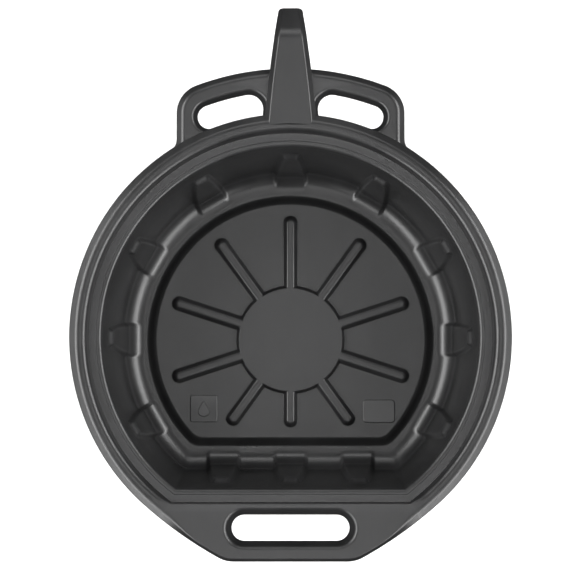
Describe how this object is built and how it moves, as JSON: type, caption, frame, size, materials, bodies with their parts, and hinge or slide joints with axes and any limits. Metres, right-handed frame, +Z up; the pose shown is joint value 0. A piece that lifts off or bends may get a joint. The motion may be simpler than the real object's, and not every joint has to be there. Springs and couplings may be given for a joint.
{
  "type": "oil drain pan",
  "caption": "Shallow D-shaped oil drain pan with a rolled rim, a slotted grip along its flat side, two small slotted grips and a hook-shaped tongue, and a ribbed star on its floor.",
  "frame": {"origin": "on the table, under the middle of the bounding box", "axes": "+Z up out of the bowl, +Y along the hook tongue, the flat side with the front grip at -Y"},
  "size_m": [0.4, 0.5038, 0.125],
  "materials": {
    "pan_plastic": "injection-moulded black polyethylene, satin with a fine grain"
  },
  "bodies": {
    "root": {"floor_panel": "pan_plastic", "foot_ring": "pan_plastic", "heel_ring": "pan_plastic", "bowl_wall": "pan_plastic", "mouth_ledge": "pan_plastic", "rim_bead": "pan_plastic", "front_grip": "pan_plastic", "left_grip": "pan_plastic", "right_grip": "pan_plastic", "hook_tongue": "pan_plastic"}
  },
  "joints": []
}
